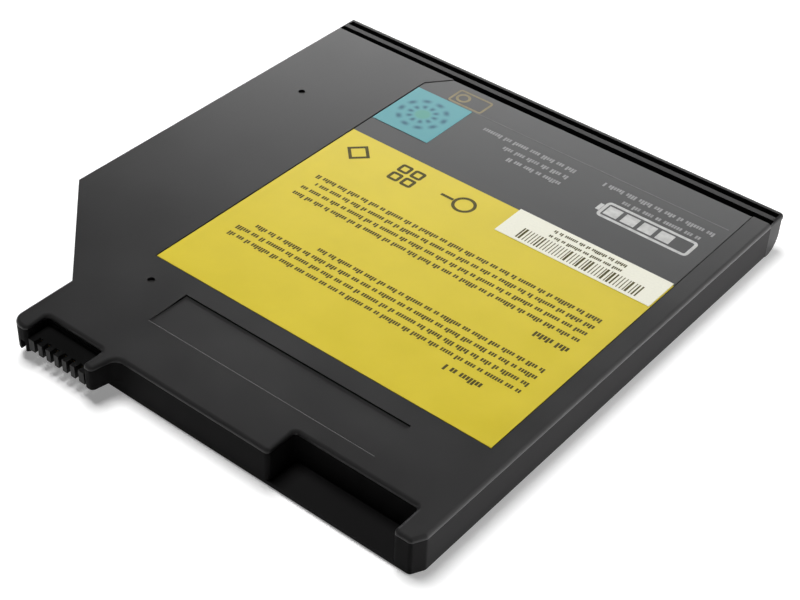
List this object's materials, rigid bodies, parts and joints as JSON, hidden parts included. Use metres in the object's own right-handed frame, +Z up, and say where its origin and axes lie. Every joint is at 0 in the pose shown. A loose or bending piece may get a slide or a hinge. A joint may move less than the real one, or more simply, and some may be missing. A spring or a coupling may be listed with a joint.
{
  "type": "laptop battery",
  "caption": "Slim flat battery pack that slides into a laptop's drive bay, with a cut rear corner, edge connector lug, rear pocket, front bezel strip and a yellow label.",
  "frame": {"origin": "middle of the pack's outline, on its underside", "axes": "+X towards the post beside the rear pocket, +Y towards the front bezel, +Z up through the label"},
  "size_m": [0.128, 0.1392, 0.0095],
  "materials": {
    "case_plastic": "fine satin moulded charcoal plastic",
    "bezel_plastic": "satin black plastic",
    "connector_plastic": "black glass-filled plastic",
    "contact_metal": "gold-plated spring sheet",
    "pouch_foil": "laminated silver pouch foil",
    "nickel_strip": "rolled nickel strip",
    "white_tape": "thin double-sided tape",
    "grey_foam": "soft closed-cell foam",
    "board_laminate": "green solder-masked laminate",
    "chip_resin": "moulded black resin",
    "fuse_body": "white fired body",
    "resistor_body": "bare metal strip",
    "capacitor_body": "tan fired body",
    "label_print": "satin printed sheet, yellow field and charcoal header",
    "teal_foil": "teal foil sticker",
    "white_sticker": "white paper sticker with plain bars"
  },
  "bodies": {
    "root": {"case_tray": "case_plastic", "cell_left": "pouch_foil", "cell_left_minus_tab": "nickel_strip", "cell_left_plus_tab": "nickel_strip", "cell_middle": "pouch_foil", "cell_middle_minus_tab": "nickel_strip", "cell_middle_plus_tab": "nickel_strip", "cell_right": "pouch_foil", "cell_right_minus_tab": "nickel_strip", "cell_right_plus_tab": "nickel_strip", "cell_tape_left": "white_tape", "cell_tape_middle": "white_tape", "cell_tape_right": "white_tape", "charge_switch": "chip_resin", "chip_capacitors": "capacitor_body", "circuit_board": "board_laminate", "code_sticker": "white_sticker", "connector_housing": "connector_plastic", "contact_1": "contact_metal", "contact_2": "contact_metal", "contact_3": "contact_metal", "contact_4": "contact_metal", "contact_5": "contact_metal", "contact_6": "contact_metal", "discharge_switch": "chip_resin", "foam_pad_left": "grey_foam", "foam_pad_middle": "grey_foam", "foam_pad_right": "grey_foam", "foil_sticker": "teal_foil", "front_bezel": "bezel_plastic", "fuse": "fuse_body", "gauge_chip": "chip_resin", "label_sheet": "label_print", "minus_lead": "nickel_strip", "plus_lead": "nickel_strip", "protection_chip": "chip_resin", "sense_resistor": "resistor_body", "series_link_left": "nickel_strip", "series_link_right": "nickel_strip", "top_cover": "case_plastic"}
  },
  "joints": []
}
